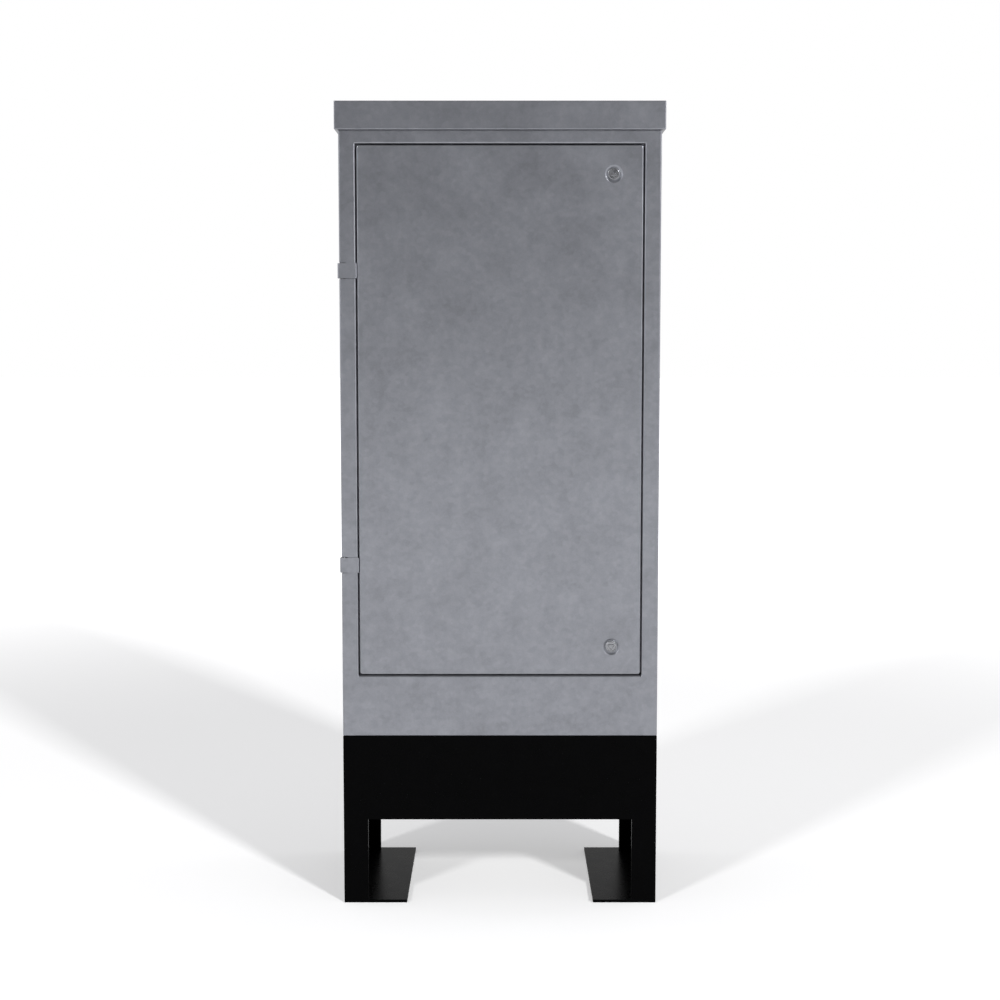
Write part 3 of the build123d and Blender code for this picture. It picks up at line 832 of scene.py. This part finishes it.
class BeadGrower(Grower):
    """Weld beads along the seed's edges, rippled like a run of overlapping drops."""

    drop_steps: float = 5.0
    drop_height: float = 0.22
    scatter_scale: float = 160.0
    scatter_height: float = 0.3
    least_height: float = 0.5
    ring_points: int = 10

    def __init__(self) -> None:
        """Build the tree."""
        super().__init__("weld_bead", {"Radius": "NodeSocketFloat", "Ripple": "NodeSocketFloat"})
        ripple = self.size("Ripple")
        line = self.add("GeometryNodeMeshToCurve", {0: self.size("Seed")}).outputs[0]
        inputs = {"Curve": line, "Length": self.maths("DIVIDE", ripple, self.drop_steps)}
        run = self.add("GeometryNodeResampleCurve", inputs, mode="LENGTH").outputs[0]
        travelled = self.add("GeometryNodeSplineParameter").outputs["Length"]
        phase = self.maths("MULTIPLY", self.maths("DIVIDE", travelled, ripple), math.pi)
        wave = self.maths("ABSOLUTE", self.maths("SINE", phase))
        inputs = {"Scale": self.scatter_scale, "Detail": 1.0}
        scatter = self.add("ShaderNodeTexNoise", inputs).outputs[0]
        height = self.maths(
            "ADD",
            self.maths("MULTIPLY", wave, self.drop_height),
            self.maths("MULTIPLY", scatter, self.scatter_height),
        )
        lifted = self.maths("ADD", height, self.least_height)
        swell = self.maths("MULTIPLY", lifted, self.size("Radius"))
        inputs = {"Resolution": self.ring_points, "Radius": 1.0}
        ring = self.add("GeometryNodeCurvePrimitiveCircle", inputs).outputs[0]
        bead = self.add(
            "GeometryNodeCurveToMesh",
            {"Curve": run, "Profile Curve": ring, "Scale": swell, "Fill Caps": True},
        )
        self.finish(bead.outputs[0])

    def lay(
        self,
        name: str,
        runs: list[Run],
        radius: float,
        ripple: float,
        finish: bpy.types.Material,
    ) -> bpy.types.Object:
        """Grow one bead along each run.

        Args:
            name: the piece's name.
            runs: the two ends of each bead, in metres.
            radius: a bead's radius, in millimetres.
            ripple: the length of one drop, in millimetres.
            finish: the piece's material.

        Returns:
            The piece with all its beads.
        """
        points = [end for run in runs for end in run]
        edges = [(first, first + 1) for first in range(0, len(points), 2)]
        sizes = {"Radius": radius * MM, "Ripple": ripple * MM}
        return self.grow(name, points, edges, sizes, finish)


class StripGrower(Grower):
    """A closed rectangular strip with rounded section and corners."""

    corner_points: int = 8
    section_points: int = 5

    def __init__(self) -> None:
        """Build the tree."""
        lengths = ("Width", "Height", "Corner", "Strip Width", "Strip Thickness", "Strip Round")
        sizes = {label: "NodeSocketFloat" for label in lengths}
        super().__init__("rounded_strip", {**sizes, "Centre": "NodeSocketVector"})
        path = self.rounded(lengths[:3], self.corner_points)
        section = self.rounded(lengths[3:], self.section_points)
        level = self.add("GeometryNodeSetCurveNormal", {"Curve": path}, mode="Z_UP").outputs[0]
        inputs = {"Curve": level, "Profile Curve": section}
        strip = self.add("GeometryNodeCurveToMesh", inputs).outputs[0]
        upright = self.add(
            "GeometryNodeTransform",
            {
                "Geometry": strip,
                "Rotation": Facing.FRONT.value,
                "Translation": self.size("Centre"),
            },
        )
        self.finish(upright.outputs[0])

    def rounded(self, labels: tuple[str, ...], count: int) -> Socket:
        """A rectangle with round corners.

        Args:
            labels: the names of its width, its height and its corners' radius.
            count: points on each corner.

        Returns:
            The rectangle's output.
        """
        width, height, corner = (self.size(label) for label in labels)
        sides = {"Width": width, "Height": height}
        plain = self.add("GeometryNodeCurvePrimitiveQuadrilateral", sides).outputs[0]
        inputs = {"Curve": plain, "Radius": corner, "Count": count}
        return self.add("GeometryNodeFilletCurve", inputs, mode="POLY").outputs[0]


# Sub-assemblies


def register(piece: bpy.types.Object, body: Body, slot: Slot, *nodes: str) -> None:
    """Hang a piece under the empty of the body it rides on, and hide the nodes it stands for.

    Args:
        piece: the finished piece.
        body: the body it rides on.
        slot: its material slot; not used.
        nodes: the nodes it replaces, if any.
    """
    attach(piece, body.value)
    if nodes:
        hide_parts(*nodes)
    log.info("placed %s with %d faces", piece.name, len(piece.data.polygons))


@dataclass(frozen=True)
class Hardware:
    """The sizes of a bolt or stud, its nut and its washer, in millimetres.

    A stud has no head, so unless they are given, the head's sizes are too small to show.
    """

    radius: float
    flats: float
    nut_height: float
    washer_radius: float = 0.0
    washer_thickness: float = 0.0
    pitch: float = 1.0
    head: float = 0.01
    head_flats: float = 0.02

    @property
    def bore(self) -> float:
        """The radius of the hole in the nut and the washer."""
        return self.radius + THREAD_PLAY


@dataclass(frozen=True)
class Seating:
    """Where a node's fixings go: their sizes, their seats in metres, and where they look."""

    node: str
    hardware: Hardware
    seats: list[Point]
    facing: Facing
    body: Body = Body.PILLAR
    slot: Slot = Slot.FIXING


@dataclass
class FixingKit:
    """Grows bolts, nuts and washers in the place of the plain ones."""

    finishes: Finishes
    bolts: BoltGrower = field(default_factory=BoltGrower)
    nuts: NutGrower = field(default_factory=NutGrower)
    washers: WasherGrower = field(default_factory=WasherGrower)

    def fit(self, grower: FixingGrower, seating: Seating, *lengths: float) -> None:
        """Grow a node's fixings.

        Args:
            grower: the tree of their kind.
            seating: where they go and which node they stand for.
            lengths: the tree's sizes in their order, in millimetres.
        """
        sizes: dict[str, Any] = {"Turn": seating.facing.value}
        for label, length in zip(grower.lengths, lengths):
            sizes[label] = length * MM
        finish = self.finishes.built[seating.slot]
        piece = grower.grow(seating.node + grower.ending, seating.seats, [], sizes, finish)
        register(piece, seating.body, seating.slot, seating.node)

    def bolt(self, seating: Seating, length: float) -> None:
        """Grow bolts or studs down from their seats, with shanks of a length in millimetres."""
        size = seating.hardware
        self.fit(self.bolts, seating, size.head_flats, size.head, size.radius, length, size.pitch)

    def nut(self, seating: Seating) -> None:
        """Grow nuts that stand on their seats."""
        size = seating.hardware
        self.fit(self.nuts, seating, size.flats, size.nut_height, size.bore)

    def washer(self, seating: Seating) -> None:
        """Grow washers that stand on their seats."""
        size = seating.hardware
        self.fit(self.washers, seating, size.washer_radius, size.bore, size.washer_thickness)


@dataclass
class Roof:
    """The hood's fixings, on the cabinet's two side flanges. Sizes are in millimetres."""

    kit: FixingKit
    stud_x: float = 276.0
    stud_pitch: float = 130.0
    hardware: Hardware = Hardware(
        radius=3.0, flats=10.0, nut_height=5.0, washer_radius=6.0, washer_thickness=1.6, pitch=1.0
    )

    def seating(self, node: str, height: float, facing: Facing) -> Seating:
        """The places of a node's fixings.

        Args:
            node: the node.
            height: the height of their seats, in metres.
            facing: where they look.

        Returns:
            The seating, with three fixings on each side.
        """
        seats = [
            (side * self.stud_x * MM, step * self.stud_pitch * MM, height)
            for side in (-1, 1)
            for step in (-1, 0, 1)
        ]
        return Seating(node, self.hardware, seats, facing)

    def build(self) -> None:
        """Grow the studs, washers and nuts under the hood."""
        low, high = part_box("roof_studs")
        flange, nut_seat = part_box("roof_washers")[1].z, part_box("roof_nuts")[1].z
        self.kit.bolt(self.seating("roof_studs", high.z, Facing.UP), (high.z - low.z) / MM)
        self.kit.washer(self.seating("roof_washers", flange, Facing.DOWN))
        self.kit.nut(self.seating("roof_nuts", nut_seat, Facing.DOWN))


@dataclass
class Cabinet:
    """The shell's welded rear seams. Sizes are in millimetres."""

    finishes: Finishes
    beads: BeadGrower
    seam_x: float = 298.0
    seam_y: float = 168.2
    bead_radius: float = 1.5
    ripple: float = 2.6
    stitch: float = 30.0
    stitch_pitch: float = 140.0
    end_gap: float = 12.0

    def build(self) -> None:
        """Grow the stitch welds that hold the rear panel on the shell's returns."""
        low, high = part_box("rear_panel")
        bottom, top = low.z / MM + self.end_gap, high.z / MM - self.end_gap
        count = round((top - bottom - self.stitch) / self.stitch_pitch)
        pitch = (top - bottom - self.stitch) / count
        runs: list[Run] = []
        for side in (-1, 1):
            x, y = side * self.seam_x * MM, self.seam_y * MM
            for step in range(count + 1):
                start = bottom + step * pitch
                runs.append(((x, y, start * MM), (x, y, (start + self.stitch) * MM)))
        zinc = self.finishes.built[Slot.ZINC]
        piece = self.beads.lay("rear_seam_welds", runs, self.bead_radius, self.ripple, zinc)
        register(piece, Body.PILLAR, Slot.ZINC)


@dataclass
class Root:
    """The root's bolts and the welds inside its corners. Sizes are in millimetres."""

    finishes: Finishes
    kit: FixingKit
    beads: BeadGrower
    side_x: float = 276.0
    side_pitch: float = 115.0
    end_x: float = 120.0
    end_y: float = 146.0
    hardware: Hardware = Hardware(
        radius=5.0,
        flats=17.0,
        nut_height=8.4,
        washer_radius=10.0,
        washer_thickness=2.0,
        pitch=1.5,
        head=6.4,
        head_flats=17.0,
    )
    panel_edge_x: float = 253.0
    plate: float = 6.0
    bead_radius: float = 3.0
    ripple: float = 4.5
    lower_gap: float = 6.0
    upper_gap: float = 4.0

    def seating(self, node: str, facing: Facing, *heights: float) -> Seating:
        """The places of a node's fixings.

        Args:
            node: the node.
            facing: where they look.
            heights: the heights of their seats, in metres.

        Returns:
            The seating, with three fixings on each side and two on each end at each height.
        """
        ways, steps = (-1, 1), (-1, 0, 1)
        sides = [(side * self.side_x, step * self.side_pitch) for side in ways for step in steps]
        ends = [(side * self.end_x, end * self.end_y) for side in ways for end in ways]
        seats = [(x * MM, y * MM, height) for height in heights for x, y in sides + ends]
        return Seating(node, self.hardware, seats, facing)

    def build(self) -> None:
        """Grow the bolts, nuts, washers and weld beads."""
        low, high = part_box("root_bolts")
        head_seat = high.z - self.hardware.head * MM
        nut_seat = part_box("root_nuts")[1].z
        under_nut, under_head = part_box("root_washers")
        above_nut = under_nut.z + self.hardware.washer_thickness * MM
        self.kit.bolt(self.seating("root_bolts", Facing.UP, head_seat), (head_seat - low.z) / MM)
        self.kit.nut(self.seating("root_nuts", Facing.DOWN, nut_seat))
        self.kit.washer(self.seating("root_washers", Facing.DOWN, under_head.z, above_nut))
        self.weld()

    def weld(self) -> None:
        """Grow the beads down the inner seams between the end panels and the legs."""
        low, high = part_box("root_rear_panel")
        inner_y = high.y - self.plate * MM
        bottom = low.z + self.lower_gap * MM
        top = high.z - self.plate * MM - self.upper_gap * MM
        runs: list[Run] = []
        for side in (-1, 1):
            x = side * self.panel_edge_x * MM
            for end in (-1, 1):
                runs.append(((x, end * inner_y, bottom), (x, end * inner_y, top)))
        paint = self.finishes.built[Slot.PAINT]
        piece = self.beads.lay("root_corner_welds", runs, self.bead_radius, self.ripple, paint)
        register(piece, Body.PILLAR, Slot.PAINT)


@dataclass
class Backboard:
    """The board's bolts into the rails. Sizes are in millimetres."""

    kit: FixingKit
    hardware: Hardware = Hardware(
        radius=4.0,
        flats=13.0,
        nut_height=6.8,
        washer_radius=12.0,
        washer_thickness=1.6,
        pitch=1.25,
        head=5.3,
        head_flats=13.0,
    )

    def seating(self, node: str, depth: float, facing: Facing) -> Seating:
        """The places of a node's fixings, found from the washers.

        Args:
            node: the node.
            depth: the depth of their seats, in metres.
            facing: where they look.

        Returns:
            The seating, with a fixing near each corner of the board.
        """
        low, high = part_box("board_washers")
        reach = self.hardware.washer_radius * MM
        columns, rows = (low.x + reach, high.x - reach), (low.z + reach, high.z - reach)
        return Seating(node, self.hardware, [(x, depth, z) for x in columns for z in rows], facing)

    def build(self) -> None:
        """Grow the bolts, washers and nuts."""
        low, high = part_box("board_bolts")
        head_seat = low.y + self.hardware.head * MM
        washer_seat, nut_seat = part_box("board_washers")[1].y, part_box("board_nuts")[0].y
        bolts = self.seating("board_bolts", head_seat, Facing.FRONT)
        self.kit.bolt(bolts, (high.y - head_seat) / MM)
        self.kit.washer(self.seating("board_washers", washer_seat, Facing.FRONT))
        self.kit.nut(self.seating("board_nuts", nut_seat, Facing.BACK))


@dataclass
class EarthPoint:
    """An earth stud's washer and nut. Sizes are in millimetres."""

    kit: FixingKit
    name: str
    body: Body
    facing: Facing
    hardware: Hardware = Hardware(
        radius=4.0, flats=13.0, nut_height=6.5, washer_radius=8.0, washer_thickness=1.6
    )

    def seating(self, node: str) -> Seating:
        """The middle of the side of a node that faces the sheet.

        Args:
            node: the node.

        Returns:
            The seating of its one fixing.
        """
        low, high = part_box(node)
        middle = (low + high) / 2
        seat = (middle.x, low.y, middle.z)
        if self.facing is Facing.LEFT:
            seat = (high.x, middle.y, middle.z)
        return Seating(node, self.hardware, [seat], self.facing, self.body)

    def build(self) -> None:
        """Grow the washer and the nut."""
        self.kit.washer(self.seating(self.name + "_earth_washer"))
        self.kit.nut(self.seating(self.name + "_earth_nut"))


@dataclass
class Door:
    """The door's foam strip. Sizes are in millimetres."""

    finishes: Finishes
    strip_width: float = 9.0
    strip_round: float = 1.3
    corner: float = 6.0

    def build(self) -> None:
        """Grow the strip in the place of the plain one."""
        low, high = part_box("door_seal")
        size = (high - low) / MM
        sizes = {
            "Width": (size.x - self.strip_width) * MM,
            "Height": (size.z - self.strip_width) * MM,
            "Corner": self.corner * MM,
            "Strip Width": self.strip_width * MM,
            "Strip Thickness": size.y * MM,
            "Strip Round": self.strip_round * MM,
            "Centre": tuple((low + high) / 2),
        }
        foam = self.finishes.built[Slot.FOAM]
        strip = StripGrower().grow("door_seal_strip", [(0.0, 0.0, 0.0)], [], sizes, foam)
        register(strip, Body.DOOR, Slot.FOAM, "door_seal")


@dataclass
class Lock:
    """A quarter-turn lock's cam nut. Sizes are in millimetres."""

    kit: FixingKit
    name: str
    body: Body
    hardware: Hardware = Hardware(radius=3.0, flats=10.0, nut_height=5.0)

    def build(self) -> None:
        """Grow the cam nut."""
        node = self.name + "_cam_nut"
        low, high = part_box(node)
        middle = (low + high) / 2
        seat = (middle.x, low.y, middle.z)
        self.kit.nut(Seating(node, self.hardware, [seat], Facing.BACK, self.body, Slot.LOCK))


# Studio


@dataclass(frozen=True)
class SoftBox:
    """A square studio lamp that looks at the pillar.

    Lengths are in metres, and the azimuth is counted from the front towards +X, in degrees.
    """

    name: str
    azimuth: float
    distance: float
    height: float
    size: float
    watts: float
    aim: Point = (0.0, 0.0, 0.75)

    def build(self) -> None:
        """Place the lamp."""
        angle = math.radians(self.azimuth)
        across, before = self.distance * math.sin(angle), -self.distance * math.cos(angle)
        place = Vector((across, before, self.height))
        lamp = bpy.data.lights.new(self.name, "AREA")
        lamp.shape = "SQUARE"
        lamp.size = self.size
        lamp.energy = self.watts
        holder = show(self.name, lamp)
        holder.location = place
        holder.rotation_euler = (Vector(self.aim) - place).to_track_quat("-Z", "Y").to_euler()


@dataclass(frozen=True)
class Floor:
    """A plain pale floor that keeps the pillar's shadow and turns white far away from it.

    The lifts are what it adds in the camera's eye, near and far, the sheens what metal sees of it
    on top, and the spread the distances between near and far, in metres.
    """

    reach: float = 60.0
    colour: Colour = (0.88, 0.88, 0.88)
    lift: float = 0.34
    far_lift: float = 1.0
    sheen: float = 0.38
    far_sheen: float = 0.40
    spread: Range = (1.5, 6.5)
    glow: Colour = (1.0, 1.0, 1.0)

    def build(self) -> None:
        """Make the floor and its material."""
        mesh = bpy.data.meshes.new("studio_floor")
        turns = ((-1, -1), (1, -1), (1, 1), (-1, 1))
        corners = [(x * self.reach, y * self.reach, 0.0) for x, y in turns]
        mesh.from_pydata(corners, [], [(0, 1, 2, 3)])
        floor = show("studio_floor", mesh)
        paper = Surface("studio_floor")
        sight = paper.add("ShaderNodeLightPath").outputs
        straight = paper.maths("MAXIMUM", sight["Is Camera Ray"], sight["Is Transmission Ray"])
        inputs = {0: paper.place}
        away = paper.add("ShaderNodeVectorMath", inputs, operation="LENGTH").outputs["Value"]
        shown = paper.remap(away, self.spread, (self.lift, self.far_lift), smooth=True)
        mirrored = paper.remap(away, self.spread, (self.sheen, self.far_sheen), smooth=True)
        lift = paper.maths(
            "ADD",
            paper.maths("MULTIPLY", straight, shown),
            paper.maths("MULTIPLY", sight["Is Glossy Ray"], mirrored),
        )
        paper.set(
            Base_Color=self.colour,
            Roughness=1.0,
            Specular_IOR_Level=0.0,
            Emission_Color=self.glow,
            Emission_Strength=lift,
        )
        mesh.materials.append(paper.material)


@dataclass(frozen=True)
class Room:
    """The light all round: a white backdrop, bright sides, a dim room before them, a lit ceiling.

    Each range is where one part turns into the next, on the axes of the direction looked in.
    """

    backdrop: Colour = (1.0, 1.0, 1.0)
    room: Colour = (0.07, 0.07, 0.075)
    sides: Colour = (1.1, 1.1, 1.15)
    ceiling: Colour = (0.05, 0.05, 0.055)
    overhead: Colour = (0.35, 0.35, 0.36)
    seen: Colour = (1.0, 1.0, 1.0)
    turn: Range = (-0.15, 0.45)
    flank: Range = (0.30, 0.70)
    fade: Range = (0.15, 0.75)
    crown: Range = (0.84, 0.94)

    def build(self) -> None:
        """Make the world."""
        world = bpy.data.worlds.new("studio")
        bpy.context.scene.world = world
        world.use_nodes = True
        paper = ShaderTree(world.node_tree)
        paper.tree.nodes.clear()
        way = paper.add("ShaderNodeTexCoord").outputs["Generated"]
        across, along, up = paper.add("ShaderNodeSeparateXYZ", {0: way}).outputs
        behind = paper.remap(along, self.turn, UNIT, smooth=True)
        height = paper.remap(up, self.fade, UNIT, smooth=True)
        flank = paper.remap(paper.maths("ABSOLUTE", across), self.flank, UNIT, smooth=True)
        front = paper.blend(Mixed.COLOURS, flank, self.room, self.sides)
        walls = paper.blend(Mixed.COLOURS, behind, front, self.backdrop)
        crown = paper.remap(up, self.crown, UNIT, smooth=True)
        above = paper.blend(Mixed.COLOURS, crown, self.ceiling, self.overhead)
        room = paper.blend(Mixed.COLOURS, height, walls, above)
        sight = paper.add("ShaderNodeLightPath").outputs
        straight = paper.maths("MAXIMUM", sight["Is Camera Ray"], sight["Is Transmission Ray"])
        shown = paper.blend(Mixed.COLOURS, straight, room, self.seen)
        light = paper.add("ShaderNodeBackground", {"Color": shown, "Strength": 1.0})
        paper.add("ShaderNodeOutputWorld", {"Surface": light.outputs[0]})


@dataclass(frozen=True)
class Viewpoint:
    """The photograph's camera. Its place is in metres, its lens and film in millimetres."""

    eye: Point = (0.0, -3.303, 1.0617)
    tilt: float = 84.86
    lens: float = 60.0
    sensor: float = 36.0
    near: float = 0.05
    far: float = 500.0

    def build(self) -> None:
        """Place the camera and make it the scene's."""
        camera = bpy.data.cameras.new("front_camera")
        camera.lens = self.lens
        camera.sensor_width = self.sensor
        camera.clip_start = self.near
        camera.clip_end = self.far
        holder = show("front_camera", camera)
        holder.location = self.eye
        holder.rotation_euler = Euler((math.radians(self.tilt), 0.0, 0.0))
        bpy.context.scene.camera = holder


@dataclass
class Studio:
    """Floor, room, lamps and camera."""

    floor: Floor = Floor()
    room: Room = Room()
    view: Viewpoint = Viewpoint()
    lamps: tuple[SoftBox, ...] = (
        SoftBox("key_right", azimuth=33.0, distance=20.0, height=9.1, size=1.7, watts=3420.0),
        SoftBox("fill_left", azimuth=-37.0, distance=20.0, height=9.1, size=2.2, watts=1830.0),
        SoftBox("rim_right", azimuth=107.0, distance=5.0, height=3.2, size=1.2, watts=15.0),
        SoftBox("rim_left", azimuth=-103.0, distance=5.0, height=3.2, size=1.2, watts=15.0),
    )

    def build(self) -> None:
        """Set up the whole studio."""
        bpy.context.scene.view_settings.view_transform = "Standard"
        self.view.build()
        self.floor.build()
        self.room.build()
        for lamp in self.lamps:
            lamp.build()


def main() -> None:
    """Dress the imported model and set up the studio."""
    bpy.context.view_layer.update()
    studio = Studio()
    studio.build()
    finishes = Finishes()
    finishes.build()
    finishes.dress()
    kit = FixingKit(finishes)
    beads = BeadGrower()
    Roof(kit).build()
    Cabinet(finishes, beads).build()
    Root(finishes, kit, beads).build()
    Backboard(kit).build()
    Door(finishes).build()
    EarthPoint(kit, "cabinet", Body.PILLAR, Facing.LEFT).build()
    EarthPoint(kit, "door", Body.DOOR, Facing.BACK).build()
    Lock(kit, "upper", Body.UPPER_LOCK).build()
    Lock(kit, "lower", Body.LOWER_LOCK).build()


if __name__ == "__main__":
    main()
